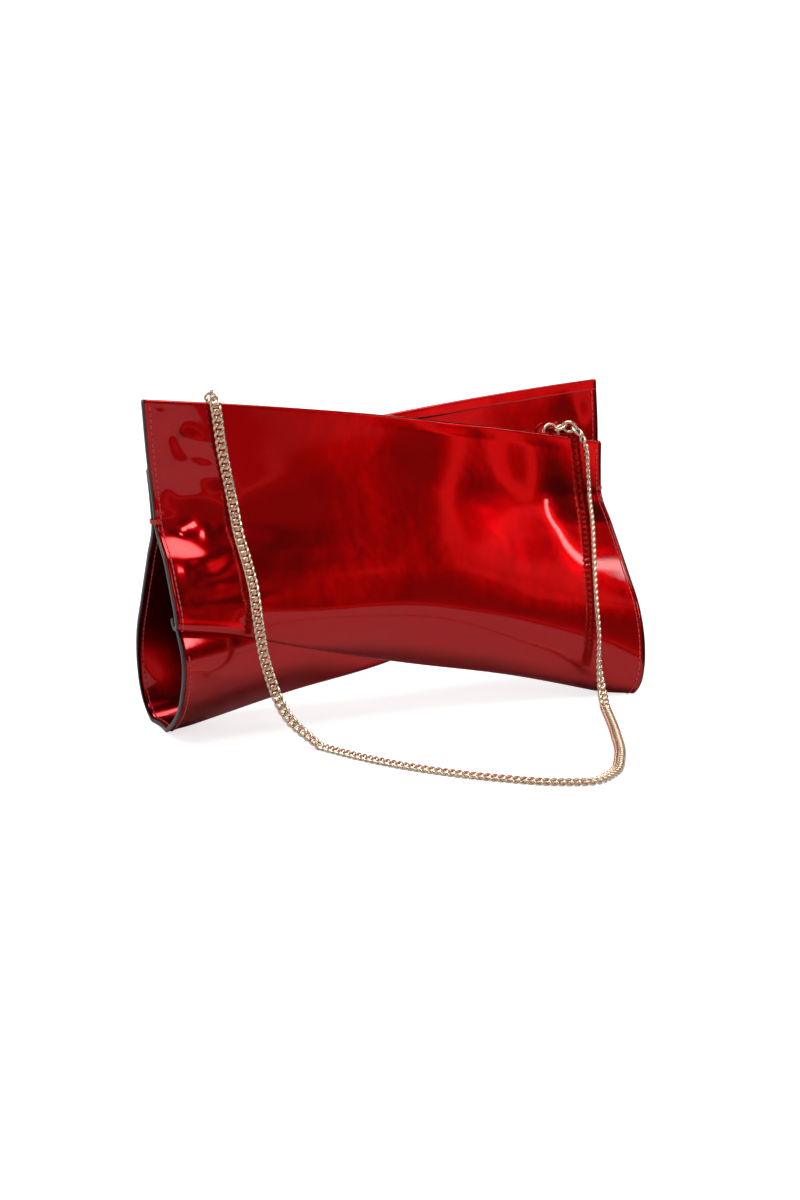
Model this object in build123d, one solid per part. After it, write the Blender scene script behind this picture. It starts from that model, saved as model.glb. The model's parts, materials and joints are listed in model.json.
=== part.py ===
from build123d import *

# Twisted clutch purse: two half-turn leather panels, an inner pouch, a magnetic snap and a
# chain strap. Millimetres, +Z up, -Y is the front, origin on the floor.

import math
import os

import numpy as np

# Driving dimensions -------------------------------------------------------------------

LEATHER = 1.1          # outer patent leather
FACING = 0.8           # inner patent leather
BOND_GAP = 0.12        # between the two layers
LEAN = 0.09            # how far the bag leans back, mm in Y per mm in Z
FOOTPRINT_SHIFT = 56.34  # puts the middle of bag and laid-out strap at Y = 0

HINGE_Z = 108.6        # the line along which the mouth of the rear panel folds back
HINGE_CUT = 0.4        # gap between the mouth and the body of the rear panel

# Outline of the front panel's outer face, from the top edge down to the bottom seam, at
# six stations from the left end (-1) to the right end (1). wall and flap are (y, z)
# points; between them the leather turns round a fold, an arc given by its centre, radius
# and start and end angles. The rear panel is the same panel turned half a turn about Z.
OUTLINE_STATIONS = [-1.0, -0.8, -0.5, 0.0, 0.5, 1.0]
WALLS = [
    [(-7.5, 165.0), (-3.9, 135.0), (-2.7, 114.0), (-2.7, 106.3), (-14.5, 90.0), (-21.8, 76.0),
     (-25.3, 69.5), (-26.6, 65.8)],
    [(-7.5, 162.8), (-5.6, 134.0), (-4.6, 114.0), (-5.4, 106.3), (-15.2, 90.0), (-22.3, 75.0),
     (-25.1, 67.5), (-25.9, 61.5)],
    [(-7.0, 159.0), (-6.8, 133.0), (-7.4, 116.0), (-9.2, 106.3), (-16.0, 90.0), (-22.5, 74.0),
     (-25.0, 61.0), (-22.3, 50.5)],
    [(-4.6, 151.5), (-5.0, 131.0), (-7.6, 116.0), (-10.5, 106.3), (-16.5, 89.0), (-22.5, 72.0),
     (-24.6, 55.5), (-18.0, 38.0)],
    [(-3.5, 142.5), (-4.8, 124.0), (-6.2, 114.0), (-8.7, 106.3), (-16.5, 88.0), (-26.5, 66.0),
     (-32.0, 47.5), (-30.5, 31.0)],
    [(-2.6, 132.0), (-2.7, 119.0), (-2.7, 112.0), (-2.7, 106.3), (-12.5, 89.5), (-26.5, 66.0),
     (-37.0, 46.5), (-41.8, 29.5)],
]
FOLD_CENTRES = [(-23.8, 62.9), (-22.4, 58.3), (-16.0, 46.5), (-4.4, 28.8), (-13.0, 24.0),
                (-25.0, 14.0)]
FOLD_RADII = [3.8, 3.8, 3.8, 3.8, 11.5, 17.5]
FOLD_ANGLES = [(185, 345), (190, 350), (211, 358), (225, 358), (216, 315), (178, 300)]
FLAPS = [
    [(-20.0, 63.0), (-20.0, 63.6), (-20.0, 64.2)],
    [(-18.6, 59.0), (-18.6, 60.2), (-18.6, 61.5)],
    [(-12.2, 50.0), (-12.2, 55.0), (-12.3, 60.0)],
    [(-0.6, 37.0), (-0.6, 49.0), (-0.6, 60.0)],
    [(6.5, 29.0), (11.3, 45.0), (11.8, 60.0)],
    [(18.0, 23.0), (26.6, 44.0), (18.9, 63.2)],
]
FOLD_POINTS = 7        # points taken round the fold
END_X = 125.5          # the ends of the panels at the floor
END_FLARE = 0.045      # and how much further out they are, mm per mm of height
PRESS = 1.0            # depth over which the underside flattens out on the floor
SETTLE = 0.3           # how far the pressed underside is let down, to be pared flat
STATIONS = 21          # sections along the bag
ROWS = 61              # points down each section

# Bar tacks that tie the two panels together at the ends
TACK_Z = 107.2
TACK_HEIGHT = 1.6
TACK_REACH = 5.0       # how far the thread runs in from the cut edge
TACK_THREAD = 0.5
TACK_CLEARANCE = 0.25
TACK_FACE_Y = 2.75     # outer faces of the panels at the tack

# Inner pouch
POUCH_HALF_LENGTH = 110.0
POUCH_WALL = 0.6
POUCH_SIDE_GAP = 0.4   # from the middle plane to each wall at the side seams
POUCH_DEPTHS = [(67.0, 6.0), (76.0, 9.5), (88.0, 10.0), (98.0, 8.0), (104.0, 6.9)]
POUCH_BASE_GAP = 0.4
BINDING_THICKNESS = 0.8
POCKET_HALF_LENGTH = 42.0
POCKET_Z = (72.0, 97.0)
POCKET_GAP = 0.5
POCKET_THICKNESS = 0.5

# Tape over the bottom seam, inside the bag
SEAM_TAPE_WIDTH = 6.0
SEAM_TAPE_THICKNESS = 0.6

# Magnetic snap
SNAP_Z = 138.0
SNAP_RADIUS = 7.0
SNAP_WALL_GAP = 2.4    # from the middle plane to the back of each half
SOCKET_THICKNESS = 1.9
SOCKET_HOLE_RADIUS = 2.8
STUD_THICKNESS = 1.0
STUD_RADIUS = 2.4
STUD_LENGTH = 1.5
PLATE_RADIUS = 5.0
PLATE_THICKNESS = 0.5
PLATE_HOLE_RADIUS = 5.3
PLATE_DEPTH = 1.75     # below the panel's outer face
SNAP_WALL_Y = 4.85     # outer face of each panel at the snap

# Rings and their leather tabs: ring centres in the upright bag
RING_RADIUS = 4.9      # to the middle of the wire
RING_WIRE = 0.8
LEFT_RING = (-99.0, -1.3, 154.8)
RIGHT_RING = (100.0, 0.8, 138.2)
LOOP_INNER = 1.2
LOOP_OUTER = 1.9
LOOP_LENGTH = 3.2
TAB_HEIGHT = 12.0
TAB_WIDTH = 9.0
TAB_THICKNESS = 1.0

# Chain strap: round links, and the paths that they follow from the rings to the floor.
# Paths are in the leaned bag.
LINK_RADIUS = 2.37     # to the middle of the wire
LINK_WIRE = 0.6
LINK_PITCH = 3.3
RIGHT_LINK_ANGLE = math.radians(20)   # where the first link hangs on the right ring
CHAIN_Z = LINK_RADIUS + LINK_WIRE + 0.08
LEFT_PIVOT = (-99.0, 4.7, 165.4)
RIGHT_PIVOT = (115.5, 6.9, 137.1)
LEFT_CORNER = (-70.0, -49.0, CHAIN_Z)
RIGHT_CORNER = (91.5, -56.0, CHAIN_Z)
LEFT_RING_PATH = [(-99.0, 12.7, 159.5), (-99.0, 13.0, 163.0), (-99.0, 11.6, 165.6),
                  (-99.0, 8.6, 166.9), LEFT_PIVOT]
RIGHT_RING_PATH = [(104.5, 13.1, 139.84), (107.7, 13.2, 140.9), (111.1, 12.2, 140.8),
                   (113.8, 10.2, 139.6), RIGHT_PIVOT]
LEFT_DROP_PATH = [LEFT_PIVOT, (-98.7, 3.4, 160.0), (-97.0, 3.0, 145.0), (-92.5, 0.3, 115.0),
                  (-91.6, -4.7, 100.0), (-91.2, -12.3, 89.0), (-91.0, -20.2, 76.0),
                  (-90.8, -24.2, 62.0), (-88.0, -28.0, 38.0), (-81.0, -37.5, 14.0), LEFT_CORNER]
RIGHT_DROP_PATH = [RIGHT_PIVOT, (116.6, 4.8, 132.5), (117.8, 3.0, 118.0), (118.0, 1.4, 106.0),
                   (113.5, -9.0, 91.0), (107.0, -20.8, 72.0), (101.5, -31.4, 53.0),
                   (98.5, -38.8, 36.0), (97.0, -42.0, 20.0), (95.5, -47.0, 8.5), RIGHT_CORNER]
FLOOR_PLAN = [(-64.0, -64.0), (-50.5, -92.0), (-36.0, -113.0), (-19.0, -132.0), (1.0, -149.0),
              (15.5, -155.0), (30.0, -149.0), (47.5, -130.0), (68.0, -98.0)]
# Directions in which the chain arrives at its bends
OVER_EDGE = (0, -0.9, -0.43)
DOWN = (0, -0.25, -1)
LANDING = (0, -0.75, -0.66)
FORWARD = (0, -1, 0)
BACK = (0, 1, 0)
FLOOR_PATH = [LEFT_CORNER, *[(x, y, CHAIN_Z) for x, y in FLOOR_PLAN], RIGHT_CORNER]


# Shared geometry ----------------------------------------------------------------------

LEAN_ANGLE = math.degrees(math.atan(LEAN))


def place(x, y, z):
    """A point of the upright bag, leaned back and moved into the part's frame."""
    return Vector(x, y + LEAN * z + FOOTPRINT_SHIFT, z)


def leaning(x, y, z):
    """The location of hardware that stands square to the leaned bag."""
    return Location(place(x, y, z), (-LEAN_ANGLE, 0, 0))


def shifted(path):
    """A path in the leaned bag, moved into the part's frame."""
    return [np.array([x, y + FOOTPRINT_SHIFT, z]) for x, y, z in path]


def smooth(known, values, at):
    """The value at a place on a smooth curve through the values at the known places."""
    known = np.array(known, float)
    values = np.array(values, float)
    slopes = np.gradient(values, known, axis=0)
    k = min(int(np.searchsorted(known, at, side="right")) - 1, len(known) - 2)
    step = known[k + 1] - known[k]
    u = (at - known[k]) / step
    return ((1 + 2 * u) * (1 - u) ** 2 * values[k] + u * (1 - u) ** 2 * step * slopes[k]
            + u ** 2 * (3 - 2 * u) * values[k + 1] + u ** 2 * (u - 1) * step * slopes[k + 1])


def between(values, station):
    """A value at any station, from its values at the outline's stations."""
    return smooth(OUTLINE_STATIONS, values, station)


def section(station):
    """(y, z) points down the outer face, evenly spaced, at a station from -1 to 1."""
    centre = between(FOLD_CENTRES, station)
    radius = between(FOLD_RADII, station)
    start, end = np.radians(between(FOLD_ANGLES, station))
    angles = np.linspace(start, end, FOLD_POINTS)
    fold = [centre + radius * np.array([math.cos(a), math.sin(a)]) for a in angles]
    corners = np.array([*between(WALLS, station), *fold, *between(FLAPS, station)])
    steps = np.linalg.norm(np.diff(corners, axis=0), axis=1)
    lengths = np.concatenate([[0], np.cumsum(steps)])
    outline = np.array([smooth(lengths, corners, at)
                        for at in np.linspace(0, lengths[-1], ROWS)])
    z = outline[:, 1]
    outline[:, 1] = (z + np.sqrt(z ** 2 + PRESS ** 2)) / 2 - SETTLE
    return outline


def inset(outline, distance):
    """The outline moved into the bag by distance."""
    down = np.gradient(outline, axis=0)
    inward = np.column_stack([-down[:, 1], down[:, 0]])
    inward /= np.linalg.norm(inward, axis=1, keepdims=True)
    return outline + distance * inward


def station_x(station, z):
    return station * (END_X + END_FLARE * z)


def leather(side, depth, thickness):
    """A sheet that lies at a depth below the outer face of the front panel (side 1) or of
    the rear panel (side -1), which is the front one turned half a turn about Z."""
    wires = []
    for station in np.linspace(-1, 1, STATIONS):
        outline = section(station)
        outer, inner = [[place(side * station_x(station, z), side * y, z) for y, z in face]
                        for face in (inset(outline, depth), inset(outline, depth + thickness))]
        wires.append(Wire([Edge.make_spline(outer), Edge.make_line(outer[-1], inner[-1]),
                           Edge.make_spline(inner[::-1]), Edge.make_line(inner[0], outer[0])]))
    return Solid.make_loft(wires, ruled=True)


def sheet(grid, thickness):
    """A closed sheet whose outer face runs through a grid of upright points."""
    face = Face.make_surface_from_array_of_points(
        [[place(*point) for point in row] for row in grid], tol=0.02, min_deg=3)
    return Solid.thicken(face, thickness)


def slab(low_z, high_z):
    """A wide block between two heights, for cutting."""
    return Pos(0, 0, (low_z + high_z) / 2) * Box(400, 400, high_z - low_z)


# Leather shell ------------------------------------------------------------------------

def shell_parts():
    """The two panels and their facings. The rear ones are cut along the mouth's fold."""
    below_floor = slab(-10, 0)
    body = slab(-10, HINGE_Z - HINGE_CUT / 2)
    mouth = slab(HINGE_Z + HINGE_CUT / 2, 200)
    plate_hole = leaning(0, 0, SNAP_Z) * Rot(90, 0, 0) * Cylinder(PLATE_HOLE_RADIUS, 20)
    front_panel = leather(1, 0, LEATHER) - below_floor
    rear_panel = leather(-1, 0, LEATHER) - below_floor
    front_facing = leather(1, LEATHER + BOND_GAP, FACING) - plate_hole
    rear_facing = leather(-1, LEATHER + BOND_GAP, FACING) - plate_hole
    return {
        "front_panel": front_panel,
        "front_facing": front_facing,
        "rear_panel_body": rear_panel & body,
        "rear_panel_mouth": rear_panel & mouth,
        "rear_facing_body": rear_facing & body,
        "rear_facing_mouth": rear_facing & mouth,
    }


def bar_tack(side):
    """Thread wrapped round both cut edges at one end: side is -1 left, 1 right."""
    edge_x = station_x(1, TACK_Z) + TACK_CLEARANCE
    face_y = TACK_FACE_Y
    flare = 0.9
    near = TACK_CLEARANCE
    far = TACK_CLEARANCE + TACK_THREAD
    reach_x = edge_x - TACK_REACH
    outer = [(reach_x, face_y + flare + far), (edge_x, face_y + far), (edge_x + far, face_y),
             (edge_x + far, -face_y), (edge_x, -face_y - far), (reach_x, -face_y - flare - far)]
    inner = [(reach_x, -face_y - flare - near), (edge_x, -face_y - near),
             (edge_x + near, -face_y), (edge_x + near, face_y), (edge_x, face_y + near),
             (reach_x, face_y + flare + near)]
    outline = make_face(Polyline(*outer, *inner, close=True))
    thread = extrude(outline, TACK_HEIGHT / 2, both=True)
    turned = Rot(0, 0, 0 if side > 0 else 180) * thread
    return leaning(0, 0, TACK_Z) * turned


def seam_tape():
    """Tape over the joined lower edges, turning with the seam from end to end."""
    rows = []
    for station in np.linspace(-0.97, 0.97, STATIONS):
        y, z = section(station)[-1]
        y_rear, z_rear = section(-station)[-1]
        height = (z + z_rear) / 2
        middle = np.array([station_x(station, height), (y - y_rear) / 2, height])
        turn = math.pi / 2 * station * abs(station)
        inward = np.array([0, -math.sin(turn), math.cos(turn)])
        across = np.array([0, math.cos(turn), math.sin(turn)])
        lift = 1.2 + 2.4 * abs(station) ** 2
        rows.append([middle + inward * lift + across * w * SEAM_TAPE_WIDTH
                     for w in (-0.5, -0.25, 0, 0.25, 0.5)])
    return sheet(np.array(rows), SEAM_TAPE_THICKNESS)


# Inner pouch --------------------------------------------------------------------------

def pouch_half_depth(x, z):
    """Half the pouch's depth, between the inner faces of its walls."""
    depth = smooth(*zip(*POUCH_DEPTHS), z)
    return POUCH_SIDE_GAP + depth * (1 - (x / POUCH_HALF_LENGTH) ** 2)


def pouch_sheet(side, inset, thickness, half_length, low_z, high_z):
    """A sheet that follows a pouch wall: side is -1 front, 1 rear."""
    grid = np.array([[(x, side * (pouch_half_depth(x, z) - inset), z)
                      for z in np.linspace(low_z, high_z, 7)]
                     for x in np.linspace(-half_length, half_length, 15)])
    return sheet(grid, -side * thickness)


def pouch_base():
    """The strip that closes the bottom of the pouch."""
    low_z, low_depth = POUCH_DEPTHS[0]
    reach = low_depth + POUCH_SIDE_GAP + POUCH_WALL
    ends = POUCH_HALF_LENGTH
    front = ThreePointArc((-ends, 0), (0, -reach), (ends, 0))
    rear = ThreePointArc((ends, 0), (0, reach), (-ends, 0))
    plan = make_face(front + rear)
    top_z = low_z - POUCH_BASE_GAP
    return Location(place(0, 0, top_z - POUCH_WALL)) * extrude(plan, POUCH_WALL)


def pouch_bindings():
    """Tapes over the two side seams of the pouch."""
    low_z, high_z = POUCH_DEPTHS[0][0], POUCH_DEPTHS[-1][0]
    width = 2 * (POUCH_SIDE_GAP + POUCH_WALL) + 0.6
    tape = Box(BINDING_THICKNESS, width, high_z - low_z)
    x = POUCH_HALF_LENGTH + BINDING_THICKNESS
    middle = (low_z + high_z) / 2
    return [leaning(side * x, 0, middle) * tape for side in (-1, 1)]


def pouch_parts():
    low_z, high_z = POUCH_DEPTHS[0][0], POUCH_DEPTHS[-1][0]
    return {
        "pouch_front_wall": pouch_sheet(-1, 0, POUCH_WALL, POUCH_HALF_LENGTH, low_z, high_z),
        "pouch_rear_wall": pouch_sheet(1, 0, POUCH_WALL, POUCH_HALF_LENGTH, low_z, high_z),
        "pouch_base": pouch_base(),
        "pouch_side_bindings": pouch_bindings(),
        "slip_pocket": pouch_sheet(1, POCKET_GAP + POCKET_THICKNESS, POCKET_THICKNESS,
                                   POCKET_HALF_LENGTH, *POCKET_Z),
    }


# Magnetic snap ------------------------------------------------------------------------

def disc(radius, y_from, y_to):
    """A round plate facing front and rear, centred on the snap."""
    middle = (y_from + y_to) / 2
    return leaning(0, middle, SNAP_Z) * Rot(90, 0, 0) * Cylinder(radius, abs(y_to - y_from))


def snap_parts():
    back = SNAP_WALL_GAP
    socket_face = -back + SOCKET_THICKNESS
    stud_face = back - STUD_THICKNESS
    hole = disc(SOCKET_HOLE_RADIUS, socket_face - 1.4, socket_face + 1)
    plate_y = SNAP_WALL_Y - PLATE_DEPTH
    half_plate = PLATE_THICKNESS / 2
    return {
        "snap_socket": disc(SNAP_RADIUS, -back, socket_face) - hole,
        "snap_stud": disc(SNAP_RADIUS, stud_face, back)
        + disc(STUD_RADIUS, stud_face - STUD_LENGTH, stud_face + 0.1),
        "socket_backing_plate": disc(PLATE_RADIUS, -plate_y - half_plate, -plate_y + half_plate),
        "stud_backing_plate": disc(PLATE_RADIUS, plate_y - half_plate, plate_y + half_plate),
    }


# Rings, tabs and chain ----------------------------------------------------------------

def ring(centre):
    """A round ring that hangs flat behind the front panel."""
    return leaning(*centre) * Rot(90, 0, 0) * Torus(RING_RADIUS, RING_WIRE)


def ring_tab(centre):
    """A leather tab, sewn inside the front panel, whose loop holds the ring's wire."""
    x, y, z = centre
    loop_z = z - RING_RADIUS
    loop = Rot(0, 90, 0) * (Cylinder(LOOP_OUTER, LOOP_LENGTH) - Cylinder(LOOP_INNER, 20))
    plate_y = TAB_THICKNESS / 2 - LOOP_OUTER
    plate_z = -LOOP_OUTER + 0.4 - TAB_HEIGHT / 2
    plate = Pos(0, plate_y, plate_z) * Box(TAB_WIDTH, TAB_THICKNESS, TAB_HEIGHT)
    neck = Pos(0, plate_y, -LOOP_OUTER) * Box(LOOP_LENGTH, TAB_THICKNESS, 2)
    neck -= Rot(0, 90, 0) * Cylinder(LOOP_INNER, 20)
    return leaning(x, y, loop_z) * (loop + plate + neck)


def unit(vector):
    return vector / np.linalg.norm(vector)


def square_to(vector, direction):
    """The part of vector that is square to direction, at unit length."""
    return unit(vector - direction * np.dot(vector, direction))


def turned(vector, axis, angle):
    """vector turned about a unit axis that it is square to."""
    return vector * math.cos(angle) + np.cross(axis, vector) * math.sin(angle)


def chain(path, start, end, closing=False):
    """Interlocked round links along a path, each a quarter turn from the one before.
    start and end each give the direction of the path there and of the wire that crosses
    it. The first link hooks that wire; the last link's own wire is the one at the end,
    or if closing it hooks a wire there too."""
    (start_way, start_wire), (end_way, end_wire) = start, end
    start_way = square_to(np.array(start_way, float), start_wire)
    end_way = square_to(np.array(end_way, float), end_wire)
    first_normal = start_wire
    last_normal = end_wire if closing else np.cross(end_wire, end_way)
    curve = Spline(*[Vector(*point) for point in shifted(path)],
                   tangents=[Vector(*start_way), Vector(*end_way)])
    hook = LINK_PITCH - LINK_RADIUS
    rest = hook if closing else LINK_RADIUS
    count = round((curve.length - hook - rest) / LINK_PITCH) + 1
    where = np.linspace(hook, curve.length - rest, count)
    ways = [curve.tangent_at(d, position_mode=PositionMode.LENGTH) for d in where]
    centres = [curve.position_at(d, position_mode=PositionMode.LENGTH) for d in where]
    ways[0], ways[-1] = Vector(*start_way), Vector(*end_way)
    centres[0], centres[-1] = curve @ 0 + hook * ways[0], curve @ 1 - rest * ways[-1]
    tangents = [np.array(tuple(way)) for way in ways]
    carried = [first_normal]
    for tangent in tangents[1:]:
        carried.append(square_to(carried[-1], tangent))
    quarter_turns = (count - 1) * math.pi / 2
    reached = turned(carried[-1], tangents[-1], quarter_turns)
    twist = math.atan2(np.dot(np.cross(reached, last_normal), tangents[-1]),
                       np.dot(reached, last_normal))
    twist -= math.pi * round(twist / math.pi)
    links = []
    for k, (centre, tangent, normal) in enumerate(zip(centres, tangents, carried)):
        share = k / max(count - 1, 1)
        facing = turned(normal, tangent, k * math.pi / 2 + share * twist)
        spot = Plane(origin=centre, x_dir=Vector(*tangent), z_dir=Vector(*facing))
        links.append(spot.location * Torus(LINK_RADIUS, LINK_WIRE))
    return links


def strap_parts():
    pivot_axis = unit(np.subtract(LEFT_PIVOT, RIGHT_PIVOT))
    corner_axis = unit(np.subtract(LEFT_CORNER, RIGHT_CORNER))
    angle = RIGHT_LINK_ANGLE
    left_ring_wire = np.array([1.0, 0, 0])
    right_ring_wire = np.array([-math.sin(angle), 0, math.cos(angle)])
    off_left_ring = (0, 0, 1)
    off_right_ring = (math.cos(angle), 0, math.sin(angle))
    return {
        "left_ring": ring(LEFT_RING),
        "right_ring": ring(RIGHT_RING),
        "left_ring_tab": ring_tab(LEFT_RING),
        "right_ring_tab": ring_tab(RIGHT_RING),
        "left_connector_links": chain(LEFT_RING_PATH, (off_left_ring, left_ring_wire),
                                      (OVER_EDGE, pivot_axis)),
        "right_connector_links": chain(RIGHT_RING_PATH, (off_right_ring, right_ring_wire),
                                       (OVER_EDGE, pivot_axis)),
        "left_chain_drop": chain(LEFT_DROP_PATH, (DOWN, pivot_axis), (LANDING, corner_axis)),
        "right_chain_drop": chain(RIGHT_DROP_PATH, (DOWN, pivot_axis), (LANDING, corner_axis)),
        "floor_chain_run": chain(FLOOR_PATH, (FORWARD, corner_axis), (BACK, corner_axis),
                                 closing=True),
    }


# Output -------------------------------------------------------------------------------

def build():
    """Every node of the purse by name, as a solid or a list of solids."""
    return {
        **shell_parts(),
        "left_bar_tack": bar_tack(-1),
        "right_bar_tack": bar_tack(1),
        "bottom_seam_tape": seam_tape(),
        **pouch_parts(),
        **snap_parts(),
        **strap_parts(),
    }


os.makedirs("parts", exist_ok=True)
for name, shape in build().items():
    solids = shape if isinstance(shape, list) else [shape]
    whole = Compound(children=solids) if len(solids) > 1 else solids[0]
    export_step(whole, f"parts/{name}.step")
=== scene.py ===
import json
import math

import bpy
import numpy as np
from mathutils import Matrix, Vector


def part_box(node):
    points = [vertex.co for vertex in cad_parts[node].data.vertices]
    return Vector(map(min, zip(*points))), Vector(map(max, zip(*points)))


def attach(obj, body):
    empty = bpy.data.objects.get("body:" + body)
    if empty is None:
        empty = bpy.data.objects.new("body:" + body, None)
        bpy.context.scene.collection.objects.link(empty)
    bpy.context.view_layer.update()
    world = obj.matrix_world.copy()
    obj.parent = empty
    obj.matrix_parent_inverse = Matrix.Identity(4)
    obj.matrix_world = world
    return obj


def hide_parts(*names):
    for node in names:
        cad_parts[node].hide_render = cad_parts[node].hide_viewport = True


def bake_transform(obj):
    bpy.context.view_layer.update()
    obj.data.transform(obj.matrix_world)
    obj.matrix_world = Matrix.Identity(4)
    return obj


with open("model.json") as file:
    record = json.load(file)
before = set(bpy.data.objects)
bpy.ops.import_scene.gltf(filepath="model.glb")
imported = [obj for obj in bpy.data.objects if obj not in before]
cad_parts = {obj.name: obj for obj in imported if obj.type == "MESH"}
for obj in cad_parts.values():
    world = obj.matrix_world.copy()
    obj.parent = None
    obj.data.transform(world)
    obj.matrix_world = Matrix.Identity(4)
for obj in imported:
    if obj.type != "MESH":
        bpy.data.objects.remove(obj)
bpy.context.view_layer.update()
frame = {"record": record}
JOINTS = {joint["name"]: joint for joint in frame["record"]["behaviour"]["joints"]}
MOUNTS = {mount["name"]: mount for mount in frame["record"]["mounts"]}

# Driving dimensions, in millimetres unless said otherwise -----------------------------

MM = 0.001
LEATHER = 1.1          # outer leather
FACING = 0.8           # inner leather
BOND_GAP = 0.12        # between the two
SHELL = LEATHER + BOND_GAP + FACING
LEAN = 0.09            # how far the bag leans back, mm in Y per mm in Z
MIDDLE_Y = (MOUNTS["right_rest"]["pos_m"][1] + MOUNTS["left_rest"]["pos_m"][1]) / 2 / MM

# Outline of the front panel's outer face at six stations from the left end (-1) to the
# right end (1): (y, z) points down the wall, an arc round the fold, and the inner flap.
OUTLINE_STATIONS = [-1.0, -0.8, -0.5, 0.0, 0.5, 1.0]
WALLS = [
    [(-7.5, 165.0), (-3.9, 135.0), (-2.7, 114.0), (-2.7, 106.3), (-14.5, 90.0), (-21.8, 76.0),
     (-25.3, 69.5), (-26.6, 65.8)],
    [(-7.5, 162.8), (-5.6, 134.0), (-4.6, 114.0), (-5.4, 106.3), (-15.2, 90.0), (-22.3, 75.0),
     (-25.1, 67.5), (-25.9, 61.5)],
    [(-7.0, 159.0), (-6.8, 133.0), (-7.4, 116.0), (-9.2, 106.3), (-16.0, 90.0), (-22.5, 74.0),
     (-25.0, 61.0), (-22.3, 50.5)],
    [(-4.6, 151.5), (-5.0, 131.0), (-7.6, 116.0), (-10.5, 106.3), (-16.5, 89.0), (-22.5, 72.0),
     (-24.6, 55.5), (-18.0, 38.0)],
    [(-3.5, 142.5), (-4.8, 124.0), (-6.2, 114.0), (-8.7, 106.3), (-16.5, 88.0), (-26.5, 66.0),
     (-32.0, 47.5), (-30.5, 31.0)],
    [(-2.6, 132.0), (-2.7, 119.0), (-2.7, 112.0), (-2.7, 106.3), (-12.5, 89.5), (-26.5, 66.0),
     (-37.0, 46.5), (-41.8, 29.5)],
]
FOLD_CENTRES = [(-23.8, 62.9), (-22.4, 58.3), (-16.0, 46.5), (-4.4, 28.8), (-13.0, 24.0),
                (-25.0, 14.0)]
FOLD_RADII = [3.8, 3.8, 3.8, 3.8, 11.5, 17.5]
FOLD_ANGLES = [(185, 345), (190, 350), (211, 358), (225, 358), (216, 315), (178, 300)]
FLAPS = [
    [(-20.0, 63.0), (-20.0, 63.6), (-20.0, 64.2)],
    [(-18.6, 59.0), (-18.6, 60.2), (-18.6, 61.5)],
    [(-12.2, 50.0), (-12.2, 55.0), (-12.3, 60.0)],
    [(-0.6, 37.0), (-0.6, 49.0), (-0.6, 60.0)],
    [(6.5, 29.0), (11.3, 45.0), (11.8, 60.0)],
    [(18.0, 23.0), (26.6, 44.0), (18.9, 63.2)],
]
FOLD_POINTS = 7        # points taken round the fold
# X of the two cut ends at each of those points
LEFT_X = [-134.0, -131.8, -130.0, -129.7, -130.0, -130.4, -130.6, -130.7] + [-130.8] * 10
RIGHT_X = [130.7, 130.0, 129.8, 129.7, 129.4, 129.2, 129.1, 128.2, 126.8, 125.8, 124.9, 124.2,
           123.8, 123.9, 124.6, 127.2, 128.0, 128.2]
PRESS = 1.0            # depth over which the underside flattens out on the floor
SETTLE = 0.3           # how far the pressed underside is let down
STATIONS = 141         # sections along each panel
ROWS = 201             # points down each section
EASE_ROWS = 17         # how many points to each side ease a bend in the wall
WALL_SHARE = 0.62      # the share of each section that can be dented
LEFT_WALL_SHARE = 0.84

# Soft dents in each panel: x, z, half width, half height, tilt in degrees, height outward
FRONT_DENTS = [
    (-125, 153, 3, 7, 10, 0.5), (-119, 149, 3.5, 6, 25, -0.7), (-111, 146, 7, 4, -30, 0.9),
    (-104, 137, 6, 3.5, -35, -0.7), (-100, 127, 8, 5, -20, -0.8), (-93, 121, 6, 7, 15, 0.8),
    (-117, 134, 4, 8, 8, 0.6), (-122, 124, 3, 6, 0, -0.6), (-113, 119, 6, 7, 20, -0.7),
    (-107, 103, 7, 8, 25, 1.4), (-118, 99, 4, 6, 15, -0.8), (-113, 89, 6, 4, -10, 0.7),
    (-99, 86, 10, 4, 25, -0.9), (-110, 78, 8, 3.5, 10, 0.7), (-97, 73, 14, 2.6, 6, -0.4),
    (-92, 68, 18, 2.6, 4, 0.4), (-121, 84, 3, 6, 10, 0.5), (-121, 72, 3, 4, 0, -0.5),
    (30, 125, 24, 42, -12, 1.9), (88, 108, 16, 34, 12, 1.5),
]
REAR_DENTS = [
    (-118, 148, 8, 9, 10, -0.8), (-104, 134, 10, 8, -25, 0.8), (-114, 104, 9, 10, 15, 1.1),
    (-98, 88, 14, 7, 20, -0.9), (110, 104, 8, 12, -20, -0.5),
]

CAMERA_AIM = (-0.2, 0.0, 57.6)     # in the bag's own frame
CAMERA_DISTANCE = 848.0
CAMERA_SWING = math.radians(28.3)
CAMERA_HEIGHT = math.radians(11.7)
CAMERA_LENS = 49.0


# Curves and points --------------------------------------------------------------------

def smooth(known, values, at):
    """Values at places on a smooth curve through the values at the known places."""
    known = np.array(known, float)
    values = np.array(values, float)
    at = np.atleast_1d(np.array(at, float))
    slopes = np.gradient(values, known, axis=0)
    k = np.clip(np.searchsorted(known, at, side="right") - 1, 0, len(known) - 2)
    step = (known[k + 1] - known[k]).reshape(-1, *[1] * (values.ndim - 1))
    u = (at - known[k]).reshape(step.shape) / step
    return ((1 + 2 * u) * (1 - u) ** 2 * values[k] + u * (1 - u) ** 2 * step * slopes[k]
            + u ** 2 * (3 - 2 * u) * values[k + 1] + u ** 2 * (u - 1) * step * slopes[k + 1])


def lengths_along(points):
    steps = np.linalg.norm(np.diff(points, axis=0), axis=1)
    return np.concatenate([[0], np.cumsum(steps)])


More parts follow.
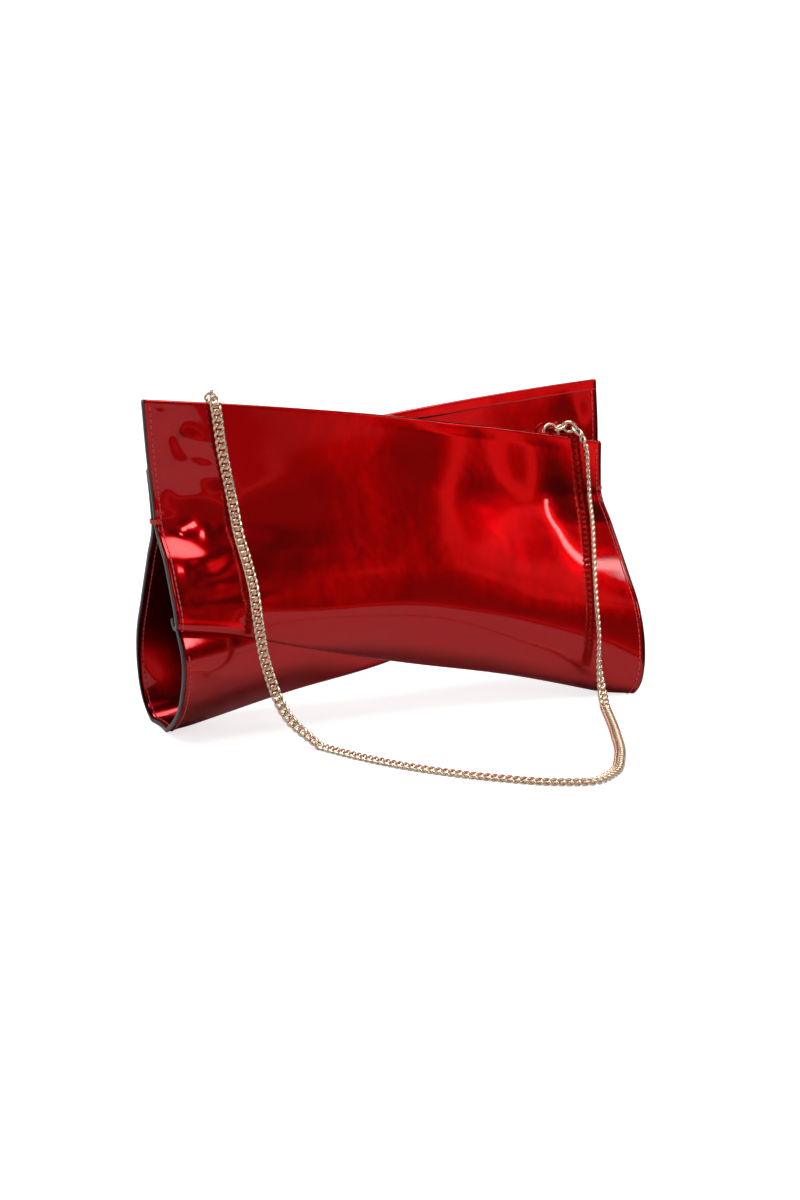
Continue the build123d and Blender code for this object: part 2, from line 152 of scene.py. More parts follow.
def even_curve(points, count):
    """count evenly spaced points along a smooth curve through points."""
    lengths = lengths_along(points)
    dense = smooth(lengths, points, np.linspace(0, lengths[-1], 8 * count))
    lengths = lengths_along(dense)
    wanted = np.linspace(0, lengths[-1], count)
    return np.column_stack([np.interp(wanted, lengths, dense[:, k]) for k in range(3)])


def between(values, station):
    return smooth(OUTLINE_STATIONS, values, station)[0]


def softened(depths, share):
    """Depths down the wall with its bends eased, and the fold below left as it is."""
    kernel = np.hanning(2 * EASE_ROWS + 3)
    before = 2 * depths[0] - depths[EASE_ROWS + 1:0:-1]
    after = depths[-EASE_ROWS - 1:]
    eased = np.convolve(np.concatenate([before, depths, after]), kernel / kernel.sum(), "valid")
    rows = np.linspace(0, 1, len(depths))
    return depths + (eased - depths) * share * np.clip((0.5 - rows) / 0.12, 0, 1)


def outline(station):
    """Upright (x, y, z) points down the front panel's outer face at one station."""
    centre = between(FOLD_CENTRES, station)
    radius = between(FOLD_RADII, station)
    start, end = np.radians(between(FOLD_ANGLES, station))
    angles = np.linspace(start, end, FOLD_POINTS)
    fold = centre + radius * np.column_stack([np.cos(angles), np.sin(angles)])
    flat = np.vstack([between(WALLS, station), fold, between(FLAPS, station)])
    left, right = np.array(LEFT_X), np.array(RIGHT_X)
    x = station * (right - left) / 2 + station ** 2 * (right + left) / 2
    curve = even_curve(np.column_stack([x, flat]), ROWS)
    curve[:, 1] = softened(curve[:, 1], 1 - abs(station) ** 3)
    z = curve[:, 2]
    curve[:, 2] = (z + np.sqrt(z ** 2 + PRESS ** 2)) / 2 - SETTLE
    return curve


def inward(grid):
    normal = np.cross(np.gradient(grid, axis=0), np.gradient(grid, axis=1))
    return normal / np.linalg.norm(normal, axis=2, keepdims=True)


def dented(grid, dents):
    """The grid with soft dents pushed in or out of its upper, outer part."""
    x, z = grid[:, :, 0], grid[:, :, 2]
    lift = np.zeros(x.shape)
    for cx, cz, width, height, tilt, rise in dents:
        c, s = math.cos(math.radians(tilt)), math.sin(math.radians(tilt))
        along, up = (x - cx) * c + (z - cz) * s, (z - cz) * c - (x - cx) * s
        lift += rise * np.exp(-(along / width) ** 2 - (up / height) ** 2)
    rows = np.linspace(0, 1, grid.shape[1])
    limit = WALL_SHARE + (LEFT_WALL_SHARE - WALL_SHARE) * np.clip((-x - 50) / 40, 0, 1)
    wall = np.clip((limit - rows) / 0.06, 0, 1)
    top = np.clip(rows / 0.03, 0, 1)
    return grid - inward(grid) * (lift * wall * top)[:, :, None]


def half_turn(points, side):
    return points * np.array([side, side, 1.0])


def place(points):
    """Upright bag points in millimetres, leaned back, as row-frame metres."""
    points = np.array(points, float)
    placed = points.copy()
    placed[..., 1] += LEAN * points[..., 2] + MIDDLE_Y
    return placed * MM


def unit(vectors):
    vectors = np.array(vectors, float)
    return vectors / np.maximum(np.linalg.norm(vectors, axis=-1, keepdims=True), 1e-9)


# Meshes -------------------------------------------------------------------------------

def new_mesh(name, points, faces, material, shade_smooth=True):
    mesh = bpy.data.meshes.new(name)
    mesh.from_pydata([tuple(p) for p in np.reshape(points, (-1, 3))], [], faces)
    mesh.validate()
    mesh.polygons.foreach_set("use_smooth", [shade_smooth] * len(mesh.polygons))
    mesh.materials.append(material)
    obj = bpy.data.objects.new(name, mesh)
    bpy.context.scene.collection.objects.link(obj)
    return obj


def grid_faces(rows, columns, start=0, close=False):
    """Quads over a grid of rows by columns; close joins the last column to the first."""
    faces = []
    for i in range(rows - 1):
        for j in range(columns if close else columns - 1):
            k = (j + 1) % columns
            faces.append((start + i * columns + j, start + i * columns + k,
                          start + (i + 1) * columns + k, start + (i + 1) * columns + j))
    return faces


def tubes(name, runs, material, closed=False):
    """One mesh of several tubes. Each run is an array of rings of points; closed joins
    the last ring of each run to its first."""
    points, faces = [], []
    for rings in runs:
        rings = np.array(rings)
        start, (count, around) = len(points), rings.shape[:2]
        points.extend(rings.reshape(-1, 3))
        if closed:
            for i in range(count):
                for j in range(around):
                    a, b = start + i * around, start + (i + 1) % count * around
                    k = (j + 1) % around
                    faces.append((a + j, a + k, b + k, b + j))
        else:
            faces += grid_faces(count, around, start, close=True)
            faces.append(tuple(start + j for j in reversed(range(around))))
            faces.append(tuple(start + (count - 1) * around + j for j in range(around)))
    return new_mesh(name, points, faces, material)


def ring_points(centre, across, up, width, height, around):
    """Points round an ellipse, as one ring of a tube."""
    angles = np.linspace(0, 2 * math.pi, around, endpoint=False)
    return (centre + np.outer(np.cos(angles), across) * width
            + np.outer(np.sin(angles), up) * height)


def tube_along(path, radius, around=10, closed=False):
    """Rings of a round tube along a path of points."""
    path = np.array(path, float)
    if closed:
        ways = unit(np.roll(path, -1, axis=0) - np.roll(path, 1, axis=0))
    else:
        ways = unit(np.gradient(path, axis=0))
    normal = np.cross(ways[0], (0, 0, 1) if abs(ways[0][2]) < 0.9 else (1, 0, 0))
    rings = []
    for point, way in zip(path, ways):
        normal = unit(normal - way * np.dot(normal, way))
        rings.append(ring_points(point, normal, np.cross(way, normal), radius, radius, around))
    return rings


# Materials ----------------------------------------------------------------------------

def material(name, color, roughness, metallic=0.0):
    made = bpy.data.materials.new(name)
    made.use_nodes = True
    nodes, links = made.node_tree.nodes, made.node_tree.links
    shader = nodes["Principled BSDF"]
    shader.inputs["Base Color"].default_value = (*color, 1)
    shader.inputs["Roughness"].default_value = roughness
    shader.inputs["Metallic"].default_value = metallic
    return made, nodes, links, shader


def noise(nodes, links, scale, detail=3.0, roughness=0.5):
    """A noise texture in object space, in features per metre."""
    where = nodes.new("ShaderNodeTexCoord")
    texture = nodes.new("ShaderNodeTexNoise")
    texture.inputs["Scale"].default_value = scale
    texture.inputs["Detail"].default_value = detail
    texture.inputs["Roughness"].default_value = roughness
    links.new(where.outputs["Object"], texture.inputs["Vector"])
    return texture.outputs["Fac"]


def bump(nodes, links, height, distance_mm, strength=1.0, below=None):
    node = nodes.new("ShaderNodeBump")
    node.inputs["Distance"].default_value = distance_mm * MM
    node.inputs["Strength"].default_value = strength
    links.new(height, node.inputs["Height"])
    if below is not None:
        links.new(below, node.inputs["Normal"])
    return node.outputs["Normal"]


def mapped(nodes, links, value, low, high):
    node = nodes.new("ShaderNodeMapRange")
    node.inputs["To Min"].default_value = low
    node.inputs["To Max"].default_value = high
    links.new(value, node.inputs["Value"])
    return node.outputs["Result"]


def patent_material(name, color, coat_ripple=0.02):
    """Mirror-glossy metallic patent leather: a tinted, softly shining base under a clear
    coat, with a faint orange peel and slow waves."""
    made, nodes, links, shader = material(name, color, 0.4, metallic=1.0)
    shader.inputs["Specular Tint"].default_value = (1.0, 0.02, 0.04, 1)
    pores = noise(nodes, links, 2500, 2)
    waves = noise(nodes, links, 70, 2)
    base = bump(nodes, links, pores, 0.015, 0.6, bump(nodes, links, waves, 0.5, 0.5))
    links.new(base, shader.inputs["Normal"])
    links.new(mapped(nodes, links, waves, 0.2, 0.26), shader.inputs["Roughness"])
    shader.inputs["Coat Weight"].default_value = 0.8
    shader.inputs["Coat IOR"].default_value = 1.5
    links.new(mapped(nodes, links, pores, 0.015, 0.05), shader.inputs["Coat Roughness"])
    ripple = bump(nodes, links, noise(nodes, links, 160, 2), coat_ripple, 0.6)
    links.new(ripple, shader.inputs["Coat Normal"])
    return made


def edge_paint_material():
    made, nodes, links, shader = material("edge_paint", (0.028, 0.025, 0.024), 0.32)
    grain = noise(nodes, links, 900, 3)
    links.new(bump(nodes, links, grain, 0.08, 0.6), shader.inputs["Normal"])
    links.new(mapped(nodes, links, grain, 0.24, 0.42), shader.inputs["Roughness"])
    shader.inputs["Coat Weight"].default_value = 0.4
    return made


def thread_material(name, color):
    made, nodes, links, shader = material(name, color, 0.55)
    where = nodes.new("ShaderNodeTexCoord")
    wave = nodes.new("ShaderNodeTexWave")
    wave.bands_direction = "DIAGONAL"
    wave.inputs["Scale"].default_value = 1500
    wave.inputs["Distortion"].default_value = 2.0
    links.new(where.outputs["Object"], wave.inputs["Vector"])
    links.new(bump(nodes, links, wave.outputs["Fac"], 0.06, 0.8), shader.inputs["Normal"])
    shader.inputs["Sheen Weight"].default_value = 0.3
    return made


def gold_material(name, color, roughness):
    made, nodes, links, shader = material(name, color, roughness, metallic=1.0)
    wear = noise(nodes, links, 600, 4, 0.6)
    fine = noise(nodes, links, 3000, 2)
    links.new(mapped(nodes, links, wear, roughness * 0.6, roughness * 1.7),
              shader.inputs["Roughness"])
    links.new(bump(nodes, links, fine, 0.01, 0.5), shader.inputs["Normal"])
    return made


def lining_material():
    """Plain-woven cloth."""
    made, nodes, links, shader = material("lining", (0.16, 0.008, 0.018), 0.8)
    where = nodes.new("ShaderNodeTexCoord")
    weave = []
    for direction in ("X", "Z"):
        wave = nodes.new("ShaderNodeTexWave")
        wave.bands_direction = direction
        wave.inputs["Scale"].default_value = 700
        wave.inputs["Distortion"].default_value = 0.4
        links.new(where.outputs["Object"], wave.inputs["Vector"])
        weave.append(wave.outputs["Fac"])
    cross = nodes.new("ShaderNodeMath")
    cross.operation = "MULTIPLY"
    links.new(weave[0], cross.inputs[0])
    links.new(weave[1], cross.inputs[1])
    creases = noise(nodes, links, 60, 3)
    cloth = bump(nodes, links, cross.outputs[0], 0.12, 0.8, bump(nodes, links, creases, 1.2, 0.5))
    links.new(cloth, shader.inputs["Normal"])
    tint = nodes.new("ShaderNodeMix")
    tint.data_type = "RGBA"
    tint.inputs["A"].default_value = (0.11, 0.005, 0.012, 1)
    tint.inputs["B"].default_value = (0.22, 0.012, 0.026, 1)
    links.new(cross.outputs[0], tint.inputs["Factor"])
    links.new(tint.outputs["Result"], shader.inputs["Base Color"])
    shader.inputs["Sheen Weight"].default_value = 0.4
    return made


# Painted shade: the near-black colour of the small discs laid at each needle hole, standing in for
# the shade down the hole.
def hole_shade_material():
    made, nodes, links, shader = material("needle_hole_painted_shade", (0.012, 0.002, 0.003), 0.8)
    links.new(bump(nodes, links, noise(nodes, links, 4000), 0.05), shader.inputs["Normal"])
    return made


PATENT = patent_material("patent_leather", (0.47, 0.0, 0.002))
PATENT_FACING = patent_material("patent_facing", (0.36, 0.0, 0.004), coat_ripple=0.04)
TAB_LEATHER = patent_material("tab_leather", (0.35, 0.0, 0.01))
EDGE_PAINT = edge_paint_material()
THREAD = thread_material("stitch_thread", (0.78, 0.03, 0.04))
TACK_THREAD = thread_material("tack_thread", (0.65, 0.02, 0.015))
GOLD = gold_material("pale_gold", (0.84, 0.71, 0.53), 0.2)
SNAP_METAL = gold_material("snap_metal", (0.72, 0.62, 0.46), 0.28)
LINING = lining_material()
# near-black painted shade for the discs at the needle holes
HOLE_SHADE_PAINT = hole_shade_material()


# Leather panels -----------------------------------------------------------------------

HEM = 5.0              # how far the leather turns down inside the top edge
HEM_PROUD = 0.35       # how far the turned edge stands off the facing
LIP_POINTS = 7


def panel_grids():
    """Outer faces of the front panel (1) and the rear one (-1), both as the front one
    stands; the rear one is turned half a turn when it is placed."""
    smooth_face = np.array([outline(s) for s in np.linspace(-1, 1, STATIONS)])
    return {1: dented(smooth_face, FRONT_DENTS), -1: dented(smooth_face, REAR_DENTS)}


GRIDS = panel_grids()


def sheet_loop(grid, normal, shallow, deep):
    """Closed loops round a sheet between two depths, with rounded ends."""
    outer, inner = grid + normal * shallow, (grid + normal * deep)[:, ::-1]
    middle_top = (outer[:, :1] + inner[:, -1:]) / 2
    middle_low = (outer[:, -1:] + inner[:, :1]) / 2
    radius = (deep - shallow) / 2
    down = unit(np.gradient(grid, axis=1))
    turns = np.linspace(0, math.pi, LIP_POINTS + 2)[1:-1]
    low = [middle_low + radius * (-normal[:, -1:] * math.cos(a) + down[:, -1:] * math.sin(a))
           for a in turns]
    top = [middle_top + radius * (normal[:, :1] * math.cos(a) - down[:, :1] * math.sin(a))
           for a in turns]
    return np.concatenate([outer, *low, inner, *top], axis=1)


def capped_loft(name, loops, material):
    """A closed mesh through the loops of a sheet, with quad strips across its two ends."""
    stations, around = loops.shape[:2]
    faces = grid_faces(stations, around, close=True)
    rows = (around - 2 * LIP_POINTS) // 2
    for station in (0, stations - 1):
        start = station * around
        for i in range(rows - 1):
            j = 2 * rows + LIP_POINTS - 1 - i
            quad = (start + i, start + i + 1, start + j - 1, start + j)
            faces.append(quad if station == 0 else quad[::-1])
        low = [start + rows - 1 + i for i in range(LIP_POINTS + 2)]
        top = [start + (2 * rows + LIP_POINTS - 1 + i) % around for i in range(LIP_POINTS + 2)]
        faces += [tuple(low), tuple(top)] if station == 0 else [tuple(low[::-1]), tuple(top[::-1])]
    return new_mesh(name, loops, faces, material)


def leather_sheet(name, side):
    """The outer leather of a panel, which turns over the top edge and down inside."""
    grid = GRIDS[side]
    normal = inward(grid)
    fall = np.array([lengths_along(row) for row in grid])
    hem = np.clip((HEM + 0.3 - fall) / 0.6, 0, 1)
    deep = LEATHER + (SHELL + HEM_PROUD - LEATHER) * hem
    inner = (grid + normal * deep[:, :, None])[:, ::-1]
    loops = sheet_loop(grid, normal, 0, LEATHER)
    loops[:, ROWS + LIP_POINTS:2 * ROWS + LIP_POINTS] = inner
    radius = (SHELL + HEM_PROUD) / 2
    down = unit(np.gradient(grid, axis=1))[:, 0]
    middle = (grid[:, 0] + inner[:, -1]) / 2
    for i, a in enumerate(np.linspace(0, math.pi, LIP_POINTS + 2)[1:-1]):
        loops[:, -LIP_POINTS + i] = middle + radius * (normal[:, 0] * math.cos(a)
                                                       - down * math.sin(a))
    return capped_loft(name, place(half_turn(loops, side)), PATENT)


def facing_sheet(name, side):
    """The inner leather of a panel. Its top edge is tucked under the hem."""
    grid = GRIDS[side]
    first = int(HEM * 0.75 / np.mean(lengths_along(grid[STATIONS // 2])[1]))
    trimmed = grid[:, first:]
    loops = sheet_loop(trimmed, inward(grid)[:, first:], LEATHER + BOND_GAP, SHELL)
    return capped_loft(name, place(half_turn(loops, side)), PATENT_FACING)


def end_frames(side, end):
    """Points, inward normals and outward directions along one cut end of a panel."""
    grid = GRIDS[side]
    column = -1 if end > 0 else 0
    before = column - 3 if end > 0 else 3
    outer = grid[column]
    normal = inward(grid)[column]
    outward = unit(grid[column] - grid[before])
    return outer, normal, outward


EDGE_BULGE = 0.55      # how far the paint stands out from the cut edge
EDGE_EXTRA = 0.12      # and how far it laps over each face


def edge_paint(name, side, end):
    """A rounded band of edge paint over both layers at one cut end."""
    outer, normal, outward = end_frames(side, end)
    half = SHELL / 2 + EDGE_EXTRA
    middle = outer + normal * SHELL / 2
    angles = np.linspace(0, 2 * math.pi, 14, endpoint=False)
    rings = []
    for a in angles:
        reach = EDGE_BULGE * abs(math.cos(a)) ** 0.7 * math.copysign(1, math.cos(a))
        side_way = abs(math.sin(a)) ** 0.7 * math.copysign(1, math.sin(a)) * half
        rings.append(middle + outward * reach + normal * side_way)
    band = place(half_turn(np.stack(rings, axis=1), side))
    return tubes(name, [band], EDGE_PAINT)


STITCH_PITCH = 2.9
STITCH_INSET = 2.9     # from the cut edge
STITCH_RADIUS = 0.32
THREAD_SHARE = 0.76    # of the pitch; the rest is the gap round the needle hole


def stitch_line(points, normals, pitch=STITCH_PITCH, radius=STITCH_RADIUS):
    """Runs of thread along a line of points on a surface, each followed by a near-black disc
    of painted shade where the needle hole is. normals point out of the surface."""
    lengths = lengths_along(points)
    count = int(lengths[-1] / pitch)
    threads, hole_shades = [], []

    def at(distance):
        point = np.array([np.interp(distance, lengths, points[:, k]) for k in range(3)])
        normal = np.array([np.interp(distance, lengths, normals[:, k]) for k in range(3)])
        return point, unit(normal)

    for i in range(count):
        start = (i + 0.12) * pitch
        run = []
        for u in np.linspace(0, 1, 7):
            point, normal = at(start + u * pitch * THREAD_SHARE)
            sink = radius * (0.75 * math.sin(math.pi * u) - 0.35)
            run.append(point + normal * sink)
        threads.append(tube_along(run, radius, around=7))
        point, normal = at((i + 1) * pitch)
        across = unit(np.cross(normal, points[-1] - points[0]))
        up = np.cross(across, normal)
        # a small near-black disc at the needle hole, painted shade for the shade down the hole
        hole_shades.append([ring_points(point + normal * h, across, up, r, r, 8)
                      for h, r in ((-0.25, 0.3), (0.02, 0.36), (0.06, 0.2))])
    return threads, hole_shades


def end_stitching(name, side, face):
    """Stitching along both cut ends of a panel: face is 'outer' or 'inner'."""
    grid = GRIDS[side]
    normal = inward(grid)
    depth, out = (0, -1) if face == "outer" else (SHELL, 1)
    threads, hole_shades = [], []
    for end in (-1, 1):
        station = end * (1 - STITCH_INSET / 130)
        index = (station + 1) / 2 * (STATIONS - 1)
        low = int(index)
        u = index - low
        here = grid[low] + normal[low] * depth
        there = grid[low + 1] + normal[low + 1] * depth
        line = here * (1 - u) + there * u
        keep = slice(3 if face == "outer" else 8, int(ROWS * 0.94))
        more_threads, more_hole_shades = stitch_line(line[keep], normal[low][keep] * out)
        threads += more_threads
        hole_shades += more_hole_shades
    thread = tubes(name, [place(half_turn(np.array(run), side)) for run in threads], THREAD)
    # the needle-hole discs, drawn in near-black painted shade
    hole = tubes(name + "_hole_shades", [place(half_turn(np.array(run), side)) for run in hole_shades],
                 HOLE_SHADE_PAINT)
    return thread, hole


def build_panels():
    for side, name in ((1, "front"), (-1, "rear")):
        leather = leather_sheet(f"{name}_leather", side)
        facing = facing_sheet(f"{name}_facing_sheet", side)
        pieces = [leather, facing]
        for end, word in ((-1, "a"), (1, "b")):
            pieces.append(edge_paint(f"{name}_edge_paint_{word}", side, end))
        for face in ("outer", "inner"):
            pieces += end_stitching(f"{name}_stitching_{face}", side, face)
        if side > 0:
            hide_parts("front_panel")
            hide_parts("front_facing")
            for piece in pieces:
                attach(piece, "root")
        else:
            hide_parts("rear_panel_body", "rear_panel_mouth")
            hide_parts("rear_facing_body", "rear_facing_mouth")
            for piece in pieces:
                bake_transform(piece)


# Tacks, tape and pouch ----------------------------------------------------------------

def build_tacks():
    """Five turns of thread round both cut edges at each end."""
    for side, word in ((-1, "left"), (1, "right")):
        low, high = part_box(f"{word}_bar_tack")
        middle_y = (low[1] + high[1]) / 2 / MM
        middle_z = (low[2] + high[2]) / 2 / MM
        half_y = (high[1] - low[1]) / 2 / MM - 0.5
        edge = (high[0] if side > 0 else low[0]) / MM
        runs = []
        for turn in range(6):
            z = middle_z + (turn - 2.5) * 0.34
            angles = np.linspace(0, 2 * math.pi, 28, endpoint=False)
            loop = [(edge - side * (2.6 - 2.6 * math.cos(a)),
                     middle_y + half_y * 0.84 * math.sin(a) + LEAN * (turn - 2.5) * 0.34, z)
                    for a in angles]
            runs.append(tube_along(loop, 0.2, around=8, closed=True))
        tack = tubes(f"{word}_tack_thread", np.array(runs) * MM, TACK_THREAD, closed=True)
        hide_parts(f"{word}_bar_tack")
        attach(tack, "root")


def cloth_sheet(name, grid, thickness, waver):
    """A cloth sheet with rounded edges and slight creases through a grid of row-frame
    millimetres."""
    normal = inward(grid)
    u = np.linspace(0, 1, grid.shape[0])[:, None]
    v = np.linspace(0, 1, grid.shape[1])[None, :]
    crease = (np.sin(17 * u + 5 * v) + np.sin(31 * u - 9 * v + 1)) * np.sin(math.pi * v)
    grid = grid + normal * (waver * crease)[:, :, None]
    loops = sheet_loop(grid, normal, 0, thickness)
    return capped_loft(name, loops * MM, LINING)


def box_mm(node):
    low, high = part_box(node)
    return np.array(low) / MM, np.array(high) / MM


def pouch_half_depth(x, z, half_length):
    depth = smooth([67, 76, 88, 98, 104], [6.0, 9.5, 10.0, 8.0, 6.9], z)
    return 0.4 + depth * (1 - (x / half_length) ** 2)


def pouch_grid(side, inset, half_length, low_z, high_z, seam_length):
    xs, zs = np.linspace(-half_length, half_length, 91), np.linspace(high_z, low_z, 31)
    return np.array([[(x, side * (pouch_half_depth(x, z, seam_length)[0] - inset)
                       + LEAN * z + MIDDLE_Y, z) for z in zs] for x in xs])


def build_pouch():
    low, high = box_mm("pouch_front_wall")
    half_length = (high[0] - low[0]) / 2
    bottom, top = low[2], high[2]
    for side, word in ((-1, "front"), (1, "rear")):
        grid = pouch_grid(side, -0.3 if side > 0 else 0, half_length - 0.1, bottom, top, half_length)
        wall = cloth_sheet(f"pouch_{word}_cloth", grid, 0.6, 0.12)
        hem = cloth_sheet(f"pouch_{word}_hem", pouch_grid(side, 0.35 if side > 0 else 0.65,
                          half_length - 1, top - 7, top + 0.1, half_length), 1.0, 0.0)
        line = pouch_grid(side, 0.7, half_length - 3, top - 6, top - 5.9, half_length)[:, 0]
        outward = np.tile((0.0, -float(side), 0.0), (len(line), 1))
        threads, _ = stitch_line(line, outward, pitch=3.2, radius=0.2)
        stitches = tubes(f"pouch_{word}_stitches", np.array(threads) * MM, THREAD)
        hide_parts(f"pouch_{word}_wall")
        for piece in (wall, hem, stitches):
            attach(piece, "root")
    low, high = box_mm("slip_pocket")
    grid = pouch_grid(1, 1.3, (high[0] - low[0]) / 2, low[2], high[2], half_length)
    pocket = cloth_sheet("slip_pocket_cloth", grid, 0.5, 0.1)
    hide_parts("slip_pocket")
    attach(pocket, "root")
    low, high = box_mm("pouch_base")
    xs = np.linspace(low[0], high[0], 61)
    reach = (high[1] - low[1]) / 2
    middle = (low[1] + high[1]) / 2
    grid = np.array([[(x, middle + v * max(reach * (1 - (x / high[0]) ** 2), 0.2), high[2])
                      for v in np.linspace(-1, 1, 9)] for x in xs])
    base = cloth_sheet("pouch_base_cloth", grid, 0.6, 0.05)
    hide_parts("pouch_base")
    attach(base, "root")
    runs = []
    low, high = box_mm("pouch_side_bindings")
    for side in (-1, 1):
        x = (high[0] - 0.5) * side
        for z in np.arange(low[2] + 1, high[2] - 1, 0.8):
            y = LEAN * z + MIDDLE_Y
            loop = [(x + 0.45 * math.cos(a), y + 1.1 * math.sin(a), z + 0.25 * math.sin(2 * a))
                    for a in np.linspace(0, 2 * math.pi, 16, endpoint=False)]
            runs.append(tube_along(loop, 0.35, around=6, closed=True))
    binding = tubes("pouch_side_tape", np.array(runs) * MM, LINING, closed=True)
    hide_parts("pouch_side_bindings")
    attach(binding, "root")


def build_seam_tape():
    """Ribbed tape over the joined lower edges, turning with the seam."""
    grid = []
    for station in np.linspace(-0.95, 0.95, 161):
        here, there = outline(station)[-1], outline(-station)[-1]
        middle = np.array([(here[0] - there[0]) / 2, (here[1] - there[1]) / 2,
                           (here[2] + there[2]) / 2])
        turn = math.pi / 2 * station * abs(station)
        away = np.array([0, -math.sin(turn), math.cos(turn)])
        across = np.array([0, math.cos(turn), math.sin(turn)])
        lift = 1.5 + 2.4 * station ** 2
        grid.append([middle + away * (lift + 0.1 * math.sin(9 * w)) - across * w
                     for w in np.linspace(-3, 3, 13)])
    grid = np.array(grid)
    grid[:, :, 1] += LEAN * grid[:, :, 2] + MIDDLE_Y
    tape = cloth_sheet("bottom_seam_ribbon", grid, 0.5, 0.04)
    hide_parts("bottom_seam_tape")
    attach(tape, "root")


# Snap ---------------------------------------------------------------------------------

def turned_profile(name, centre, profile, material, around=64):
    """A round piece turned about Y through centre: profile is (radius, y) points, mm."""
    rings = []
    for radius, y in profile:
        angles = np.linspace(0, 2 * math.pi, around, endpoint=False)
        rings.append([(centre[0] + radius * math.cos(a), centre[1] + y + LEAN * radius * math.sin(a),
                       centre[2] + radius * math.sin(a)) for a in angles])
    return tubes(name, [np.array(rings) * MM], material)


def build_snap():
    low, high = box_mm("snap_socket")
    centre = (low + high) / 2
    back, radius = -1.2, (high[0] - low[0]) / 2
    socket = turned_profile("snap_socket_turned", centre, [
        (0.1, back), (radius - 0.6, back), (radius, back + 0.3), (radius, back + 1.1),
        (radius - 0.3, back + 1.6), (radius - 0.9, back + 1.8), (radius - 1.6, back + 1.6),
        (radius - 2.0, back + 1.5), (3.4, back + 1.5), (3.1, back + 1.8), (2.8, back + 1.7),
        (2.7, back + 0.6), (0.1, back + 0.55)], SNAP_METAL)
    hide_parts("snap_socket", "socket_backing_plate")
    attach(socket, "root")
    low, high = box_mm("snap_stud")
    centre = (low + high) / 2
    back = 1.2
    stud = turned_profile("snap_stud_turned", centre, [
        (0.1, back), (radius - 0.6, back), (radius, back - 0.2), (radius, back - 0.6),
        (radius - 0.5, back - 0.95), (radius - 1.4, back - 0.9), (3.2, back - 0.85),
        (2.7, back - 1.0), (2.3, back - 1.3), (2.3, back - 2.0), (2.0, back - 2.35),
        (0.1, back - 2.4)], SNAP_METAL)
    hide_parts("snap_stud", "stud_backing_plate")
    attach(stud, "rear_mouth")


# Rings and chain ----------------------------------------------------------------------

LINK_PITCH = 3.4
LINK_WIRE = 0.76
LINK_HALF_LENGTH = 2.45
LINK_HALF_WIDTH = 2.1
LINK_LIFT = 0.72       # how far each strand rises and falls where two links cross
FLAT = 1.22            # half the thickness left after the faces are filed flat

LEFT_PIVOT = np.array(JOINTS["strap_lift"]["pos_m"]) / MM
RIGHT_PIVOT = np.array(JOINTS["right_strap_lift"]["pos_m"]) / MM
LEFT_CORNER = np.array(JOINTS["strap_unfold"]["pos_m"]) / MM
RIGHT_CORNER = LEFT_CORNER + np.array([161.5, -7.0, 0])
ON_FLOOR = FLAT + 0.1


def curb_link(centre, way, face):
    """Rings of one flat curb link: an oval of wire that twists as it goes round."""
    side = np.cross(face, way)
    turns = np.linspace(0, 2 * math.pi, 36, endpoint=False)
    path = np.array([centre + way * LINK_HALF_LENGTH * math.cos(a)
                     + side * LINK_HALF_WIDTH * math.sin(a)
                     + face * LINK_LIFT * math.sin(2 * a) for a in turns])
    rings = np.array(tube_along(path, LINK_WIRE, around=12, closed=True))
    height = (rings - centre) @ face
    filed = np.clip(height, -FLAT, FLAT)
    return rings + (filed - height)[..., None] * face


def curb_chain(name, path, faces, pitch=LINK_PITCH):
    """Curb links along a path. faces gives the direction of the flat side at each of the
    path's points."""
    path, faces = np.array(path, float), np.array(faces, float)
    lengths = lengths_along(path)
    fine = smooth(lengths, path, np.linspace(0, lengths[-1], 800))
    normals = smooth(lengths, faces, np.linspace(0, lengths[-1], 800))
    along = lengths_along(fine)
    count = int(round(along[-1] / pitch))
    runs = []
    for i in range(count):
        distance = (i + 0.5) * along[-1] / count
        centre, ahead, behind, normal = [
            np.array([np.interp(d, along, values[:, k]) for k in range(3)])
            for d, values in ((distance, fine), (distance + 1, fine), (distance - 1, fine),
                              (distance, normals))]
        way = unit(ahead - behind)
        face = unit(normal - way * np.dot(normal, way))
        runs.append(curb_link(centre, way, face))
    return tubes(name, np.array(runs) * MM, GOLD, closed=True)


def shifted(points):
    """Leaned-bag points moved into the row frame, millimetres."""
    return np.array(points, float) + np.array([0, MIDDLE_Y, 0])


TO_CAMERA = np.array([-0.46, -0.86, 0.2])
ACROSS_CAMERA = np.array([0.85, -0.5, 0.1])
UP = np.array([0, 0, 1.0])


